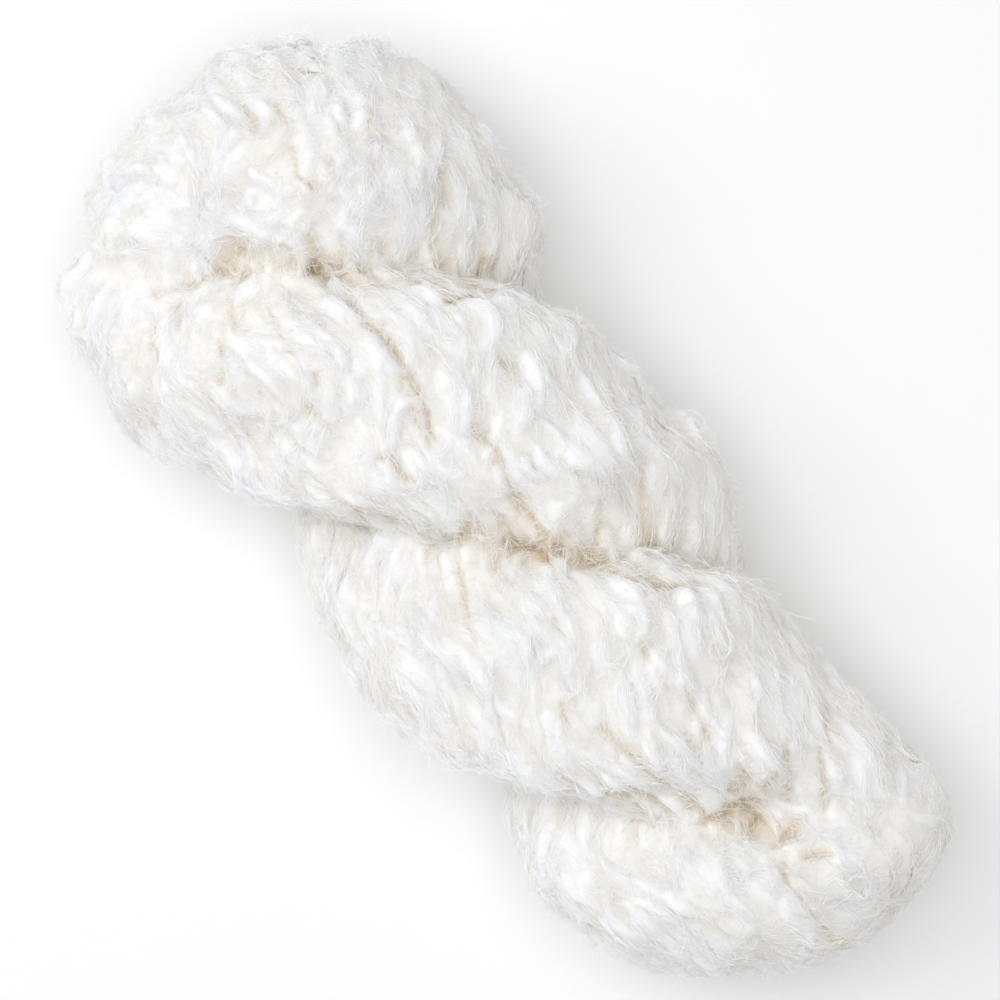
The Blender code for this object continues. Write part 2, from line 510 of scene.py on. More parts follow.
def make_locks(skin, axis_y, rng):
    """Full locks, which swell the fleece."""
    spots = skin.scatter(LOCK_TRIES, rng)
    ways = strand_ways(spots.place, spots.normal, axis_y)
    crest = np.cos(strand_phase(spots.place, axis_y))
    order = np.argsort(-(CREST_CHOICE * crest + rng.random(len(crest))))
    kept = spaced_places(spots.place, ways, order, LOCKS_ALONG, LOCKS_APART)
    count = len(kept)
    lively = liveliness(spots.only(kept))
    mood = 1 + MOOD_SWING * make_wander(MOOD_SPACING, rng).at(spots.place[kept])
    return Locks(
        root=spots.place[kept],
        sense=np.where(rng.random(count) < RUN_ON, 1.0, -1.0),
        length=rng.uniform(*LOCK_LENGTHS, count),
        width=NARROWEST_LOCK + LOCK_WIDTH_RANGE * rng.random(count) ** FEW_WIDE,
        height=rng.uniform(*LOCK_HEIGHTS, count) * np.clip(lively * mood, *LOCK_LIVELINESS),
        proud=np.zeros(count),
        curl=rng.normal(0, LOCK_CURL, count),
        swerve=rng.normal(0, LOCK_SWERVE, count),
        lively=lively,
    )


def make_wisps(skin, axis_y, rng):
    """Thin locks, which lie on the fleece. Some of them curl round."""
    spots = skin.scatter(WISP_TRIES, rng)
    spots = spots.only((spots.normal[:, 2] > UNDERSIDE) | (rng.random(WISP_TRIES) < WISPS_BELOW))
    ways = strand_ways(spots.place, spots.normal, axis_y)
    kept = spaced_places(spots.place, ways, np.arange(len(spots.place)), WISPS_ALONG, WISPS_APART)
    count = len(kept)
    lively = liveliness(spots.only(kept))
    kind = rng.random(count)
    ringlet = kind < RINGLET_SHARE
    curl = rng.normal(0, WISP_CURL, count)
    for chosen, curls in ((kind < BENT_SHARE, BENT_CURLS), (ringlet, RINGLET_CURLS)):
        curl = np.where(chosen, rng.uniform(*curls, count) * rng.choice([-1, 1], count), curl)
    return Locks(
        root=spots.place[kept],
        sense=np.where(rng.random(count) < RUN_ON, 1.0, -1.0),
        length=rng.uniform(*WISP_LENGTHS, count),
        width=np.where(ringlet, RINGLET_WIDTH, rng.uniform(*WISP_WIDTHS, count)),
        height=np.zeros(count),
        proud=rng.uniform(*WISP_PROUD, count) * lively,
        curl=curl,
        swerve=rng.normal(0, WISP_SWERVE, count),
        lively=lively,
    )


class Curl(NamedTuple):
    """A wisp that is curled into a ring on the hank's top."""

    x: float
    y: float
    radius: float
    turn: int  # 1 if it curls to the left, and -1 to the right


CURLS = (
    Curl(-0.057, -0.014, 0.0027, 1),
    Curl(-0.073, -0.008, 0.0030, -1),
    Curl(0.038, 0.003, 0.0035, 1),
    Curl(0.052, 0.023, 0.0033, -1),
    Curl(0.070, 0.029, 0.0025, 1),
    Curl(0.082, 0.016, 0.0030, 1),
    Curl(0.103, -0.010, 0.0033, -1),
    Curl(0.119, 0.013, 0.0030, 1),
    Curl(0.037, -0.011, 0.0030, -1),
    Curl(-0.028, 0.040, 0.0025, 1),
)


def make_curls(skin, axis_y):
    """The placed curls, as wisps. Each starts where its ring will close round the curl's middle."""
    down = Vector((0, 0, -1))
    found = [skin.tree.ray_cast(Vector((c.x, c.y, OVERHEAD)), down)[0] for c in CURLS]
    middles = skin.nearest(found)
    radius, turn = (np.array([getattr(c, key) for c in CURLS]) for key in ("radius", "turn"))
    length = radius * CURL_TURN / (1 - CURLED_FROM)
    ways = strand_ways(middles.place, middles.normal, axis_y)
    sides = np.cross(middles.normal, ways)
    back, aside = CURLED_FROM * length, turn * radius
    roots = middles.place - ways * back[:, None] - sides * aside[:, None]
    same = np.ones(len(CURLS))
    return Locks(
        root=roots,
        sense=same,
        length=length,
        width=CURL_WIDTH * same,
        height=0 * same,
        proud=CURL_PROUD * same,
        curl=CURL_TURN * turn,
        swerve=0 * same,
        lively=same,
    )


def lock_paths(locks, skin, axis_y, flow):
    """Follows each lock along the skin from its root, as its strand runs and as it curls."""
    shares = np.linspace(0, 1, LOCK_STEPS + 1)
    curled = np.maximum(shares - CURLED_FROM, 0) / (1 - CURLED_FROM)
    stride = (locks.length / LOCK_STEPS)[:, None]
    place = locks.root
    middle, normals = [], []
    for share, round_curl in zip(shares, curled):
        spot = skin.nearest(place)
        middle.append(spot.place)
        normals.append(spot.normal)
        way = strand_ways(spot.place, spot.normal, axis_y) * locks.sense[:, None]
        swung = FLOW_SWING * flow.at(spot.place) * locks.sense
        heading = (swung + locks.swerve * (2 * share - 1) + locks.curl * round_curl)[:, None]
        step = way * np.cos(heading) + np.cross(spot.normal, way) * np.sin(heading)
        place = spot.place + step * stride
    middle = np.stack(middle, axis=1)
    way = unit(np.gradient(middle, axis=1))
    top = across(np.stack(normals, axis=1), way)
    return Paths(middle, way, np.cross(top, way))


def path_steps(share):
    """The step of a path that each share of a lock's length is in, and how far it is along it."""
    step = share * LOCK_STEPS
    before = np.minimum(step.astype(int), LOCK_STEPS - 1)
    return before, (step - before)[..., None]


def teardrop(share):
    """How thick a lock is along its length, as a share of its widest."""
    return np.sin(math.pi * np.clip(share, 0.0, 1.0) ** THICKEST_AT) ** BLUNTNESS


# --- Tubes ---


class Tubes(NamedTuple):
    """Closed tubes, ready for a mesh. The map gives each vertex its painted light and tone, and its
    share along.
    """

    places: Array
    quads: Array
    tris: Array
    map: Array


def make_tubes(middle, side, top, radii, map_places):
    """Tubes round middle lines, whose first and last points are the tips."""
    count, points, _ = middle.shape
    rings = points - 2
    turn = np.linspace(0, 2 * math.pi, FIBRE_SIDES, endpoint=False)[:, None]
    radii = radii[:, None, None, None]
    across_ring = np.sin(turn) * radii * side[:, 1:-1, None]
    up_ring = np.cos(turn) * radii * top[:, 1:-1, None]
    ring_places = (middle[:, 1:-1, None] + across_ring + up_ring).reshape(count, -1, 3)
    places = np.concatenate([ring_places, middle[:, :1], middle[:, -1:]], axis=1)
    index = np.arange(rings * FIBRE_SIDES).reshape(rings, FIBRE_SIDES)
    after = np.roll(index, -1, axis=1)
    quads = np.stack([index[:-1], after[:-1], after[1:], index[1:]], axis=-1).reshape(-1, 4)
    first = np.full(FIBRE_SIDES, index.size)
    start = np.stack([first, after[0], index[0]], axis=-1)
    end = np.stack([first + 1, index[-1], after[-1]], axis=-1)
    tris = np.concatenate([start, end])
    shift = (np.arange(count) * (index.size + 2))[:, None, None]
    return Tubes(
        places.reshape(-1, 3),
        (quads[None] + shift).reshape(-1, 4),
        (tris[None] + shift).reshape(-1, 3),
        map_places.reshape(-1, 2),
    )


# --- Fibres ---


class Fibres(NamedTuple):
    """Many fibres: their middle lines, and how light each one is painted, from the fleece's painted
    shade under it and a random tone.
    """

    middle: Array
    painted_light_and_tone: Array


class Comb(NamedTuple):
    """How fibres lie along locks."""

    name: str
    count: int
    rings: int  # between a fibre's two tips
    radius: float
    shortest: float  # share of the lock's length
    longest: float
    spread: float  # to the sides, as a share of the lock's half width
    splay: float  # that a tip strays to the side
    lift: float  # that a tip stands off the lock


class Loose(NamedTuple):
    """A kind of fibre that belongs to no lock."""

    name: str
    count: int
    rings: int
    radius: float
    length: float
    spread: float  # radians from the strand's way
    bend: float
    stand: float  # how far off the fleece it arches


ON_WISPS = Comb(
    "combed_fibres", count=52000, rings=1, radius=0.00009,
    shortest=0.25, longest=0.52, spread=0.45, splay=0.0009, lift=0.0005,
)
ON_LOCKS = Comb(
    "lock_fibres", count=28000, rings=1, radius=0.00009,
    shortest=0.22, longest=0.46, spread=0.60, splay=0.0010, lift=0.0005,
)
LOOSE = (
    Loose(
        "fuzz", count=43000, rings=1, radius=0.00008,
        length=0.0040, spread=1.3, bend=2.2, stand=0.0007,
    ),
    Loose(
        "stray_fibres", count=2500, rings=3, radius=0.00005,
        length=0.0070, spread=0.9, bend=2.0, stand=0.0009,
    ),
)


def combed_fibres(locks, paths, fleece, comb, rng):
    """Fibres that follow the locks or wisps, with tips that stray from them."""
    curliness = 1 + CURLS_GET_MORE * np.abs(locks.curl)
    weight = locks.length * locks.width**NARROWS_GET_MORE * curliness
    each = np.maximum((comb.count * weight / weight.sum()).round().astype(int), FEWEST_FIBRES)
    lock = np.repeat(np.arange(len(each)), each)
    count, points = len(lock), comb.rings + 2
    span = rng.uniform(comb.shortest, comb.longest, count)
    span = np.minimum(span, SHARPEST_BEND / np.maximum(np.abs(locks.curl[lock]), STRAIGHT))
    start = rng.uniform(-BEFORE_ROOT, 1 + PAST_TIP - span)
    local = np.linspace(0, 1, points)
    share = start[:, None] + span[:, None] * local
    inside = np.clip(share, 0, 1)
    before, part = path_steps(inside)
    row = lock[:, None]

    def along(values):
        return values[row, before] * (1 - part) + values[row, before + 1] * part

    past = (share - inside) * locks.length[lock][:, None]
    half = 0.5 * locks.width[lock][:, None] * np.maximum(teardrop(share), THINNEST_SHARE)
    aside = rng.normal(0, comb.spread, count)[:, None] * half
    aside = aside + rng.normal(0, comb.splay, count)[:, None] * local**2
    aside = aside + rng.normal(0, WAVER * comb.splay, (count, points))
    place = along(paths.middle) + along(paths.way) * past[..., None]
    place += along(paths.side) * aside[..., None]
    spots = fleece.nearest(place.reshape(-1, 3))
    height, painted_light_and_tone = (spots.values[:, i].reshape(count, points) for i in (0, 1))
    chord = height[:, :1] * (1 - local) + height[:, -1:] * local
    arch = np.sin(math.pi * inside) ** PROUD_ARCH
    above = rng.uniform(0, HIGHEST_ABOVE, count)[:, None] + locks.proud[lock][:, None] * arch
    stir = CALM_LIFT + (1 - CALM_LIFT) * locks.lively[lock]
    lift = (rng.gamma(LIFT_SHAPE, comb.lift, count) * stir)[:, None] * local**2
    height = np.maximum(height, chord) + above + lift
    ups = spots.normal.reshape(count, points, 3)
    middle = spots.place.reshape(count, points, 3) + ups * height[..., None]
    # Painted shade: a fibre takes most of the fleece's painted shade under it, painted lighter, with
    # a random tone
    shade = COMBED_LIGHTER + FIBRE_PAINTED_LIGHT * painted_light_and_tone.mean(axis=1) + rng.normal(0, TINT_SPREAD, count)
    # Painted highlight on fibres that curl into rings
    shade += RING_PAINTED_HIGHLIGHT * (np.abs(locks.curl[lock]) > RING_CURL)
    return Fibres(middle, shade)


def loose_fibres(fleece, axis_y, kind, rng):
    """Fibres that lie loosely over the fleece, and arch a little way off it."""
    spots = fleece.scatter(kind.count * 2, rng)
    up = spots.normal[:, 2] > rng.uniform(*LOOSE_FACING, kind.count * 2)
    spots = spots.only(np.flatnonzero(up)[: kind.count])
    count, points = len(spots.place), kind.rings + 2
    ways = strand_ways(spots.place, spots.normal, axis_y)
    side = np.cross(spots.normal, ways)
    local = np.linspace(0, 1, points)
    heading = rng.normal(0, kind.spread, count)[:, None]
    heading = heading + rng.normal(0, kind.bend, count)[:, None] * local
    stride = rng.uniform(*LOOSE_LENGTHS, count)[:, None] * kind.length / (points - 1)
    forward = np.cumsum(np.cos(heading) * stride, axis=1)
    sideways = np.cumsum(np.sin(heading) * stride, axis=1)
    stir = CALM_STAND + (1 - CALM_STAND) * liveliness(spots)
    stand = (rng.gamma(STAND_SHAPE, kind.stand / STAND_SHAPE, count) * stir)[:, None]
    arch = stand * np.sin(math.pi * local * rng.uniform(*ARCH_TURNS, count)[:, None])
    height = spots.values[:, :1] + rng.uniform(-LOOSE_DEPTH, LOOSE_DEPTH, count)[:, None] + arch
    middle = (
        spots.place[:, None]
        + ways[:, None] * forward[..., None]
        + side[:, None] * sideways[..., None]
        + spots.normal[:, None] * height[..., None]
    )
    # Painted shade from the fleece under the fibre, painted lighter, with a random tone
    shade = LOOSE_LIGHTER + FIBRE_PAINTED_LIGHT * spots.values[:, 1] + rng.normal(0, TINT_SPREAD, count)
    return Fibres(middle, shade)


def fibre_tubes(fibres, radius, rng):
    """The fibres as tubes, none of which goes under the surface that the hank rests on."""
    middle = fibres.middle
    middle[..., 2] = np.maximum(middle[..., 2], FLOOR_GAP)
    count, points, _ = middle.shape
    way = unit(np.gradient(middle, axis=1))
    side = unit(np.cross(way, unit(rng.normal(0, 1, (count, 1, 3)))))
    top = np.cross(side, way)
    radii = radius * rng.uniform(*FIBRE_RADII, count)
    share = np.linspace(0, 1, points)
    along = np.concatenate([np.repeat(share[1:-1], FIBRE_SIDES), [0, 1]])
    map_places = np.stack(np.broadcast_arrays(fibres.painted_light_and_tone[:, None], along), axis=-1)
    return make_tubes(middle, side, top, radii, np.clip(map_places, MAP_EDGE, 1 - MAP_EDGE))


def make_fibres(name, fibres, radius, material, rng):
    """The fibres as pieces, each with no more than MOST_TRIANGLES triangles."""
    rings = fibres.middle.shape[1] - 2
    triangles = 2 * FIBRE_SIDES * rings
    parts = math.ceil(len(fibres.painted_light_and_tone) * triangles / MOST_TRIANGLES)
    for number in range(parts):
        share = Fibres(*(values[number::parts] for values in fibres))
        label = f"{name}_{number + 1}" if parts > 1 else name
        make_piece(label, fibre_tubes(share, radius, rng), material)


# --- Pieces ---


def put_in(name, data):
    """A new object in the scene."""
    thing = bpy.data.objects.new(name, data)
    bpy.context.scene.collection.objects.link(thing)
    return thing


def make_piece(name, tubes, material):
    mesh = bpy.data.meshes.new(name)
    corners = np.concatenate([tubes.quads.ravel(), tubes.tris.ravel()])
    starts = np.arange(len(tubes.quads)) * 4
    starts = np.concatenate([starts, len(tubes.quads) * 4 + np.arange(len(tubes.tris)) * 3])
    mesh.vertices.add(len(tubes.places))
    mesh.vertices.foreach_set("co", tubes.places.ravel())
    mesh.loops.add(len(corners))
    mesh.loops.foreach_set("vertex_index", corners)
    mesh.polygons.add(len(starts))
    mesh.polygons.foreach_set("loop_start", starts)
    layer = mesh.uv_layers.new(name=MAP)
    layer.uv.foreach_set("vector", tubes.map[corners].ravel())
    mesh.update(calc_edges=True)
    mesh.shade_flat()
    finish_piece(name, mesh, material)


def finish_piece(name, mesh, material):
    mesh.materials.append(material)
    piece = put_in(name, mesh)
    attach(piece, BODY)
    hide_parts(NODE)


# --- Fleece ---


class Bulge(NamedTuple):
    """A place where the fleece stands proud, or is drawn in, seen from above."""

    x: float
    y: float
    radius: float
    reach: float  # outwards


BULGES = (
    Bulge(-0.131, 0.033, 0.0045, -0.0020),
    Bulge(-0.115, 0.053, 0.0050, -0.0020),
    Bulge(-0.099, 0.055, 0.0120, 0.0040),
    Bulge(-0.120, 0.041, 0.0032, 0.0014),
    Bulge(-0.135, -0.022, 0.0034, 0.0020),
    Bulge(-0.130, -0.033, 0.0034, 0.0020),
    Bulge(-0.118, -0.048, 0.0036, 0.0022),
    Bulge(-0.105, -0.055, 0.0036, 0.0020),
    Bulge(-0.137, -0.006, 0.0040, 0.0018),
    Bulge(-0.136, 0.014, 0.0040, 0.0018),
    Bulge(-0.126, 0.044, 0.0060, -0.0055),
    Bulge(-0.126, -0.041, 0.0060, -0.0045),
    Bulge(-0.132, 0.036, 0.0060, -0.0030),
    Bulge(-0.081, 0.056, 0.0060, 0.0025),
    Bulge(-0.066, 0.060, 0.0060, -0.0030),
    Bulge(-0.044, 0.050, 0.0060, -0.0030),
    Bulge(0.035, 0.053, 0.0080, -0.0030),
    Bulge(0.061, 0.044, 0.0070, -0.0035),
    Bulge(0.122, 0.044, 0.0060, 0.0025),
    Bulge(0.130, -0.028, 0.0090, -0.0045),
)


class Gap(NamedTuple):
    """A gap between strands, seen from above, sunk into the fleece and given painted shade."""

    line: tuple  # of places, x and y
    half_width: float
    shade: float  # painted shade, and how far it sinks: 1 where it is painted as dark as a crease


GAPS = (
    Gap(((-0.099, -0.032), (-0.095, -0.023), (-0.093, -0.015), (-0.088, -0.008)), 0.0018, 0.53),
    Gap(((-0.093, -0.009), (-0.086, -0.005), (-0.082, -0.001)), 0.0014, 0.45),
    Gap(((-0.080, 0.001), (-0.079, 0.004)), 0.0013, 0.55),
    Gap(((-0.054, 0.024), (-0.052, 0.032), (-0.054, 0.038)), 0.0015, 0.62),
    Gap(((-0.065, 0.029), (-0.073, 0.039), (-0.080, 0.046)), 0.0013, 0.40),
    Gap(((-0.105, 0.018), (-0.099, 0.014), (-0.094, 0.015)), 0.0013, 0.62),
    Gap(((-0.091, 0.021), (-0.097, 0.023)), 0.0010, 0.47),
    Gap(((-0.105, 0.040), (-0.097, 0.036), (-0.086, 0.027)), 0.0010, 0.45),
    Gap(((-0.124, 0.015), (-0.115, 0.013)), 0.0018, 0.50),
    Gap(((-0.118, 0.022), (-0.112, 0.021)), 0.0010, 0.40),
    Gap(((-0.121, 0.032), (-0.121, 0.035)), 0.0013, 0.44),
    Gap(((-0.090, -0.041), (-0.094, -0.036), (-0.094, -0.028)), 0.0013, 0.45),
    Gap(((-0.090, -0.032), (-0.093, -0.028)), 0.0010, 0.45),
    Gap(((-0.082, -0.027), (-0.074, -0.031), (-0.071, -0.034)), 0.0013, 0.45),
    Gap(((-0.087, -0.018), (-0.081, -0.022)), 0.0010, 0.45),
    Gap(((-0.079, -0.012), (-0.070, -0.014), (-0.063, -0.015)), 0.0010, 0.40),
    Gap(((-0.058, -0.014), (-0.056, -0.015)), 0.0013, 0.47),
    Gap(((-0.053, -0.021), (-0.046, -0.019)), 0.0013, 0.47),
    Gap(((-0.069, 0.005), (-0.061, 0.005), (-0.054, 0.006), (-0.046, 0.005)), 0.0013, 0.62),
    Gap(((-0.046, 0.005), (-0.038, 0.003), (-0.029, 0.000)), 0.0013, 0.62),
    Gap(((-0.045, 0.003), (-0.036, -0.001), (-0.027, -0.003)), 0.0010, 0.45),
    Gap(((-0.034, -0.015), (-0.030, -0.012), (-0.023, -0.011)), 0.0013, 0.62),
    Gap(((-0.033, 0.025), (-0.030, 0.026)), 0.0015, 0.45),
    Gap(((-0.024, 0.009), (-0.016, 0.010), (-0.008, 0.007)), 0.0013, 0.58),
    Gap(((-0.008, 0.007), (0.002, 0.005), (0.008, 0.006)), 0.0013, 0.58),
    Gap(((-0.005, 0.005), (0.000, 0.003)), 0.0013, 0.50),
    Gap(((0.003, -0.003), (0.007, 0.001), (0.010, 0.004)), 0.0014, 0.80),
    Gap(((0.010, 0.006), (0.014, 0.008)), 0.0015, 0.70),
    Gap(((0.016, 0.010), (0.019, 0.014), (0.025, 0.016)), 0.0018, 0.62),
    Gap(((0.025, 0.016), (0.031, 0.021), (0.038, 0.028)), 0.0018, 0.62),
    Gap(((-0.005, -0.012), (-0.006, -0.009)), 0.0013, 0.66),
    Gap(((-0.010, -0.020), (-0.007, -0.013)), 0.0010, 0.43),
    Gap(((-0.004, -0.013), (0.007, -0.020), (0.016, -0.025)), 0.0010, 0.40),
    Gap(((-0.026, -0.029), (-0.017, -0.021)), 0.0015, 0.43),
    Gap(((0.000, 0.022), (0.007, 0.025)), 0.0013, 0.53),
    Gap(((0.010, 0.022), (0.018, 0.014)), 0.0013, 0.45),
    Gap(((0.011, 0.034), (0.025, 0.025)), 0.0015, 0.45),
    Gap(((0.020, -0.004), (0.030, -0.008)), 0.0010, 0.40),
    Gap(((0.026, -0.011), (0.028, -0.011)), 0.0013, 0.50),
    Gap(((0.041, -0.017), (0.048, -0.021)), 0.0010, 0.40),
    Gap(((0.042, 0.008), (0.054, 0.006)), 0.0013, 0.47),
    Gap(((0.052, -0.013), (0.060, -0.012), (0.067, -0.011), (0.073, -0.010)), 0.0018, 0.62),
    Gap(((0.058, -0.003), (0.067, -0.005)), 0.0010, 0.50),
    Gap(((0.059, 0.010), (0.068, 0.007), (0.076, 0.005)), 0.0013, 0.45),
    Gap(((0.067, 0.003), (0.071, 0.003)), 0.0010, 0.45),
    Gap(((0.086, -0.008), (0.089, -0.002), (0.091, 0.004)), 0.0014, 0.80),
    Gap(((0.087, 0.002), (0.084, 0.007)), 0.0023, 0.62),
    Gap(((0.067, -0.025), (0.071, -0.019), (0.076, -0.015)), 0.0010, 0.62),
    Gap(((0.078, -0.009), (0.085, -0.007)), 0.0010, 0.62),
    Gap(((0.084, 0.021), (0.096, 0.011)), 0.0013, 0.50),
    Gap(((0.090, 0.027), (0.102, 0.018)), 0.0010, 0.45),
    Gap(((0.083, 0.035), (0.094, 0.028)), 0.0010, 0.43),
    Gap(((0.091, 0.008), (0.089, 0.013)), 0.0013, 0.56),
    Gap(((0.099, 0.004), (0.102, 0.009)), 0.0014, 0.50),
    Gap(((0.108, 0.008), (0.111, 0.012)), 0.0013, 0.55),
    Gap(((0.105, 0.002), (0.112, -0.002)), 0.0015, 0.43),
    Gap(((0.114, -0.001), (0.127, -0.002), (0.135, 0.000)), 0.0013, 0.50),
)


class Samples(NamedTuple):
    """Closely spaced places along the locks' middle lines."""

    place: Array
    side: Array
    half_width: Array
    height: Array
    along: Array  # from the lock's root, in metres
    lock: Array


def lock_samples(locks, paths):
    share = np.linspace(0, 1, SAMPLES_ALONG)
    before, part = path_steps(share)
    place = paths.middle[:, before] * (1 - part) + paths.middle[:, before + 1] * part
    thick = teardrop(share)
    return Samples(
        place=place.reshape(-1, 3),
        side=paths.side[:, before].reshape(-1, 3),
        half_width=np.maximum(0.5 * locks.width[:, None] * thick, THINNEST_HALF_WIDTH).reshape(-1),
        height=(locks.height[:, None] * thick).reshape(-1),
        along=(locks.length[:, None] * share).reshape(-1),
        lock=np.repeat(np.arange(len(locks.length)), SAMPLES_ALONG),
    )


def raised_by(samples, places):
    """How far the locks raise the fleece at each place, blended where they meet.

    It also gives where each place is on its highest lock: across it, along it and which one.
    """
    tree = KDTree(len(samples.place))
    for index, place in enumerate(samples.place):
        tree.insert(place, index)
    tree.balance()
    rise = np.zeros(len(places))
    comb = np.zeros((len(places), 3))
    for i, place in enumerate(places):
        near = [n for _, n, _ in tree.find_range(Vector(place), LARGEST_HALF_WIDTH)]
        if near:
            gaps = samples.place[near] - place
            inside = np.maximum(1 - np.sum(gaps * gaps, axis=1) / samples.half_width[near] ** 2, 0)
            rises = samples.height[near] * inside
            rise[i] = np.sum(rises**LOCK_BLEND) ** (1 / LOCK_BLEND)
            top = rises.argmax()
            best = near[top]
            comb[i] = gaps[top] @ samples.side[best], samples.along[best], samples.lock[best]
    return rise / BLEND_GAIN, comb


def fine_mesh(skin, name):
    """The skin, cut finely, as a mesh."""
    mesh = bmesh.new()
    vertices = [mesh.verts.new(place) for place in skin.places]
    for corners in skin.corners:
        mesh.faces.new([vertices[i] for i in corners])
    bmesh.ops.subdivide_edges(mesh, edges=mesh.edges, cuts=FLEECE_CUTS, use_grid_fill=True)
    data = bpy.data.meshes.new(name)
    mesh.to_mesh(data)
    mesh.free()
    return data


def bulged(places):
    """How far the bulges move the fleece out at each place."""
    moved = np.zeros(len(places))
    for bulge in BULGES:
        away = np.hypot(places[:, 0] - bulge.x, places[:, 1] - bulge.y) / bulge.radius
        moved += bulge.reach * np.exp(-away * away)
    return moved * (places[:, 2] > SHAPED_OVER)


def gap_shade(places):
    """How much painted shade the gaps between strands give each place; the same value sinks the
    fleece there.
    """
    shade = np.zeros(len(places))
    for gap in GAPS:
        line = np.array(gap.line)
        for start, end in zip(line, line[1:]):
            way = end - start
            from_start = places[:, :2] - start
            share = np.clip(from_start @ way / (way @ way), 0, 1)
            away = np.linalg.norm(from_start - share[:, None] * way, axis=1) / gap.half_width
            shade = np.maximum(shade, gap.shade * np.exp(-away * away))
    return shade * (places[:, 2] > SHAPED_OVER)


def fleece_height(spots, rise, shade, rng):
    """How far the fleece is over the skin at each spot: under 0 where it is below."""
    sky, relief = spots.values.T
    bearing = np.clip((spots.place[:, 2] - BEARING_UP_TO) / BEARING_BLEND, 0, 1)
    below = DEPTH_BELOW + (BASE_DEPTH - DEPTH_BELOW) * bearing
    depth = np.where(spots.normal[:, 2] < FACING_DOWN, below, BASE_DEPTH)
    depth *= np.clip(CREASE_FILL * sky, SHALLOWEST, 1)
    lively = liveliness(spots)
    depth += (RELIEF_CUT * lively + CALM_RELIEF_CUT * (1 - lively)) * relief * sky
    lumps = LUMP_HEIGHT * make_wander(LUMP_SPACING, rng).at(spots.place) * bearing
    return np.minimum(rise + lumps - depth, HIGHEST) + bulged(spots.place) - GAP_DEPTH * shade


def fleece_painted_light(spots, rise, shade):
    """Painted shade, as a value: 0 in a crease painted dark, and 1 on a lock in the open light."""
    # Painted shade in a crease, where little sky is open
    crease = np.clip(spots.values[:, 0] * PAINTED_LIGHT_BY_SKY - CREASE_DARKENS, 0, 1)
    flank = np.clip((np.abs(spots.place[:, 1]) - FLANK_FROM) / FLANK_BLEND, 0, 1)
    # The creases' painted shade is paler on the flanks
    crease += (1 - crease) * FLANK_LIGHTENS * flank
    # Painted shade between the locks, gone where a lock raises the fleece
    risen = np.clip(PAINTED_LIGHT_BETWEEN + (1 - PAINTED_LIGHT_BETWEEN) * rise / PAINTED_LIGHT_RISE, 0, 1)
    # and painted shade in the gaps between strands
    return crease * risen * (1 - shade)


def make_fleece(skin, locks, paths, rng):
    """One closed surface that swells into every lock.

    It gives the skin under it, whose values are the fleece's height over the skin, and its painted
    light.
    """
    data = fine_mesh(skin, "yarn_fleece")
    edges = numbers(data.edges, "vertices", each=2, kind=np.int32)
    spots = skin.nearest(numbers(data.vertices, "co"))
    rise, comb = raised_by(lock_samples(locks, paths), spots.place)
    rise *= LOWEST_LOCKS + (1 - LOWEST_LOCKS) * spots.values[:, 0]
    rise *= np.clip((spots.place[:, 2] - LOCKS_OVER) / PRESSED_FADE, FLATTEST, 1)
    shade = gap_shade(spots.place)
    rise *= 1 - GAP_FLATTENS * shade
    height = fleece_height(spots, rise, shade, rng)
    painted_light_and_tone = fleece_painted_light(spots, rise, shade)
    pressed = np.clip(1 - spots.place[:, 2] / PRESSED_FADE, 0, 1)
    lifted = spots.place + spots.normal * height[:, None]
    lifted = evened(lifted, edges, pressed, PRESSED_ROUNDS)
    under = lifted - spots.normal * height[:, None]
    lifted[:, 2] = np.maximum(lifted[:, 2], FLOOR_GAP)
    data.vertices.foreach_set("co", lifted.ravel())
    # The painted shade goes to the material as an attribute
    data.attributes.new("painted_light_and_tone", "FLOAT", "POINT").data.foreach_set("value", painted_light_and_tone)
    data.attributes.new("comb", "FLOAT_VECTOR", "POINT").data.foreach_set("vector", comb.ravel())
    data.update()
    data.shade_smooth()
    finish_piece("yarn_fleece", data, fleece_material())
    values = np.stack([height, painted_light_and_tone], axis=1)
    return Surface(under, triangle_corners(data), spots.normal, values)


# --- Materials ---


def set_inputs(node, values):
    for name, value in values.items():
        node.inputs[name].default_value = value


class Nodes:
    """A short way to lay out one material's nodes."""

    def __init__(self, name):
        self.material = bpy.data.materials.new(name)
        self.material.use_nodes = True
        self.tree = self.material.node_tree
        self.shader = self.tree.nodes["Principled BSDF"]

    def add(self, kind, **settings):
        node = self.tree.nodes.new(kind)
        for key, value in settings.items():
            setattr(node, key, value)
        return node

    def link(self, output, socket):
        self.tree.links.new(output, socket)

    def maths(self, operation, first, second=None):
        node = self.add("ShaderNodeMath", operation=operation)
        for socket, value in zip(node.inputs, (first, second)):
            if isinstance(value, (int, float)):
                socket.default_value = value
            elif value is not None:
                self.link(value, socket)
        return node.outputs[0]

    def noise(self, places, scale, detail, distortion):
        node = self.add("ShaderNodeTexNoise")
        set_inputs(node, {"Scale": scale, "Detail": detail, "Distortion": distortion})
        self.link(places, node.inputs["Vector"])
        return node.outputs["Fac"]

    def ramp(self, value, stops):
        node = self.add("ShaderNodeValToRGB")
        elements = node.color_ramp.elements
        while len(elements) < len(stops):
            elements.new(0.5)
        for element, (position, colour) in zip(elements, stops):
            element.position = position
            element.color = (*colour, 1.0)
        self.link(value, node.inputs[0])
        return node.outputs["Color"]

    def colour(self, output):
        self.link(output, self.shader.inputs["Base Color"])


# Painted shade at a fibre's root end and painted light at its lifted tip end
TIPS_PAINTED_LIGHTER = 0.10
GRAIN_TINT = 0.20
STREAKS = (2600.0, 300.0, 7.0)  # across a lock, along it, and from one lock to the next
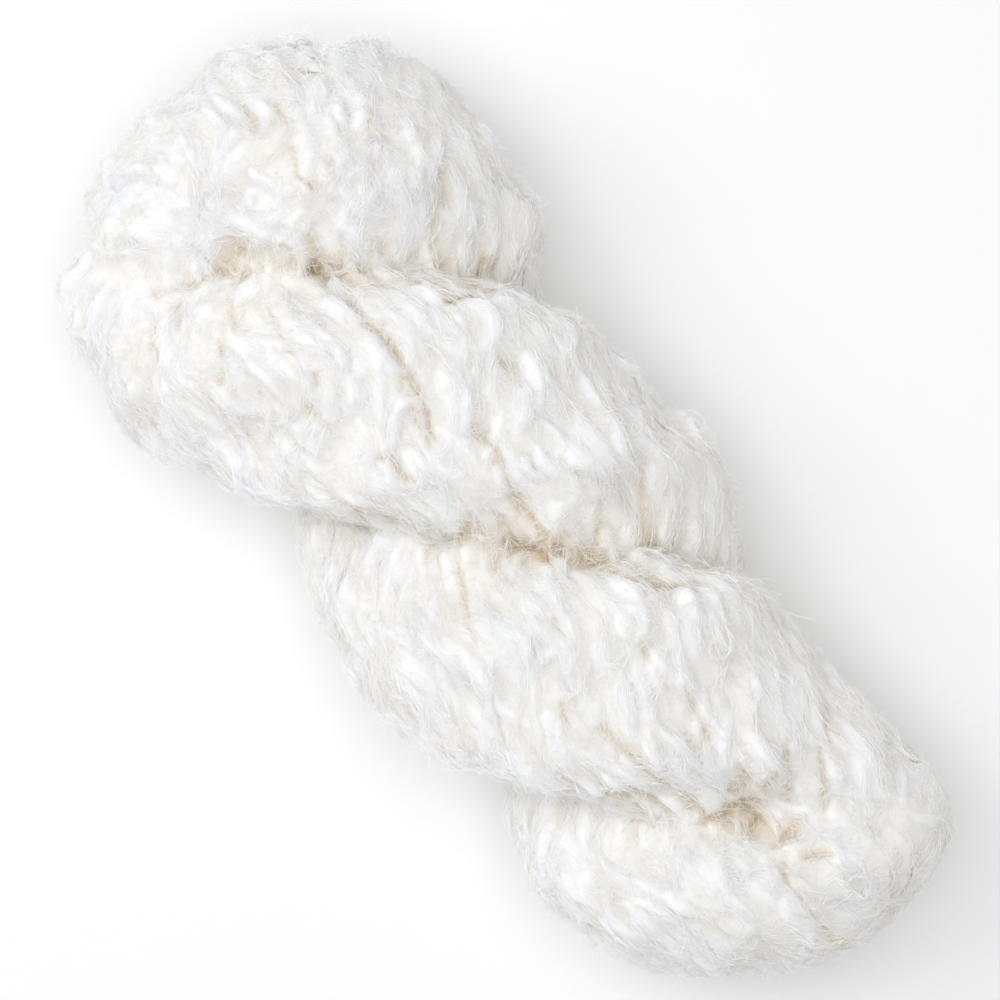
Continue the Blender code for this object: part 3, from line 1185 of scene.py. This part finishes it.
# The wool's own colour at 1; below it, painted shade, down to a painted brown for the darkest crease
# at 0
WOOL_BY_PAINTED_LIGHT = (
    (0.0, (0.48, 0.35, 0.20)),
    (0.25, (0.72, 0.64, 0.515)),
    (0.60, (0.912, 0.895, 0.867)),
    (1.0, (0.964, 0.967, 0.976)),
)


WOOL_FINISH = {"Specular IOR Level": 0.25, "Sheen Roughness": 0.5}
FIBRE_FINISH = {"Roughness": 0.75, "Sheen Weight": 0.15}
FLEECE_FINISH = {
    "Roughness": 0.95,
    "Sheen Weight": 0.0,
    "Subsurface Weight": 0.8,
    "Subsurface Radius": (1.0, 0.9, 0.75),
    "Subsurface Scale": 0.002,
}


def fibre_material():
    nodes = Nodes("wool_fibre")
    parts = nodes.add("ShaderNodeSeparateXYZ")
    nodes.link(nodes.add("ShaderNodeUVMap", uv_map=MAP).outputs["UV"], parts.inputs[0])
    # Each fibre's painted light and tone, and its share along
    painted_light_and_tone, along = parts.outputs["X"], parts.outputs["Y"]
    # Painted shade at the root end, painted light at the tip end
    painted_tip_light = nodes.maths("MULTIPLY", nodes.maths("SUBTRACT", along, 0.5), TIPS_PAINTED_LIGHTER)
    nodes.colour(nodes.ramp(nodes.maths("ADD", painted_light_and_tone, painted_tip_light), WOOL_BY_PAINTED_LIGHT))
    set_inputs(nodes.shader, WOOL_FINISH | FIBRE_FINISH)
    return nodes.material


def fleece_material():
    nodes = Nodes("wool_fleece")
    # Painted shade of the fleece's creases, gaps and the places between locks
    painted_light_and_tone = nodes.add("ShaderNodeAttribute", attribute_name="painted_light_and_tone")
    comb = nodes.add("ShaderNodeAttribute", attribute_name="comb")
    stretch = nodes.add("ShaderNodeVectorMath", operation="MULTIPLY")
    stretch.inputs[1].default_value = STREAKS
    nodes.link(comb.outputs["Vector"], stretch.inputs[0])
    streaks = nodes.noise(stretch.outputs[0], scale=1.0, detail=3.0, distortion=0.6)
    place = nodes.add("ShaderNodeTexCoord")
    curls = nodes.noise(place.outputs["Object"], scale=1300.0, detail=4.0, distortion=1.5)
    texture = nodes.maths("ADD", streaks, curls)
    uneven = nodes.maths("MULTIPLY", nodes.maths("SUBTRACT", texture, 1.0), GRAIN_TINT)
    nodes.colour(nodes.ramp(nodes.maths("ADD", painted_light_and_tone.outputs["Fac"], uneven), WOOL_BY_PAINTED_LIGHT))
    bump = nodes.add("ShaderNodeBump")
    set_inputs(bump, {"Strength": 0.28, "Distance": 0.0004})
    nodes.link(texture, bump.inputs["Height"])
    nodes.link(bump.outputs[0], nodes.shader.inputs["Normal"])
    set_inputs(nodes.shader, WOOL_FINISH | FLEECE_FINISH)
    return nodes.material


# --- The studio ---


LIT_PLACE = Vector((0, 0, 0.03))  # that the lights point at


def make_floor():
    mesh = bmesh.new()
    bmesh.ops.create_grid(mesh, x_segments=1, y_segments=1, size=3.0)
    data = bpy.data.meshes.new("floor")
    mesh.to_mesh(data)
    mesh.free()
    nodes = Nodes("floor")
    set_inputs(nodes.shader, {"Base Color": (0.95, 0.95, 0.95, 1.0), "Roughness": 0.9})
    data.materials.append(nodes.material)
    put_in("floor", data)


def make_light(name, place, size, power):
    lamp = bpy.data.lights.new(name, "AREA")
    lamp.shape = "DISK"
    lamp.size = size
    lamp.energy = power
    light = put_in(name, lamp)
    light.location = place
    light.rotation_euler = (LIT_PLACE - Vector(place)).to_track_quat("-Z", "Y").to_euler()


def make_studio():
    make_floor()
    world = bpy.data.worlds.new("studio")
    world.use_nodes = True
    sky = world.node_tree.nodes["Background"]
    set_inputs(sky, {"Color": (0.985, 0.990, 1.0, 1.0), "Strength": 0.485})
    make_light("overhead", place=(0, 0, 1.6), size=1.4, power=10.9)
    make_light("key", place=(-0.80, -0.45, 1.05), size=1.0, power=5.5)
    scene = bpy.context.scene
    scene.world = world
    scene.view_settings.view_transform = "Standard"
    scene.cycles.diffuse_bounces = 8


VIEW_TURN = math.radians(51.2)
VIEW_MIDDLE = Vector((-0.0068, 0.00275, 0.040))
VIEW_SPAN = 0.250  # metres across the picture, at the middle's height
VIEW_DISTANCE = 1.2


def make_camera():
    lens = bpy.data.cameras.new("camera")
    lens.lens = lens.sensor_width * VIEW_DISTANCE / VIEW_SPAN
    lens.clip_start = 0.01
    camera = put_in("camera", lens)
    camera.location = VIEW_MIDDLE + Vector((0, 0, VIEW_DISTANCE))
    camera.rotation_euler = (0, 0, VIEW_TURN)
    bpy.context.scene.camera = camera


def main():
    rng = np.random.default_rng(SEED)
    make_camera()
    make_studio()
    skin = solid_skin(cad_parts[NODE])
    tip = skin.places[skin.places[:, 0].argmin()]
    axis_y = tip[1] - section_value(tip[0], "drift")
    flow = make_wander(FLOW_SPACING, rng)
    locks = make_locks(skin, axis_y, rng)
    paths = lock_paths(locks, skin, axis_y, flow)
    fleece = make_fleece(skin, locks, paths, rng)
    wool = fibre_material()
    wisps = zip(make_wisps(skin, axis_y, rng), make_curls(skin, axis_y))
    wisps = Locks(*map(np.concatenate, wisps))
    wisp_paths = lock_paths(wisps, skin, axis_y, flow)
    for comb, locks_under, paths_under in ((ON_WISPS, wisps, wisp_paths), (ON_LOCKS, locks, paths)):
        fibres = combed_fibres(locks_under, paths_under, fleece, comb, rng)
        make_fibres(comb.name, fibres, comb.radius, wool, rng)
    for kind in LOOSE:
        make_fibres(kind.name, loose_fibres(fleece, axis_y, kind, rng), kind.radius, wool, rng)


main()
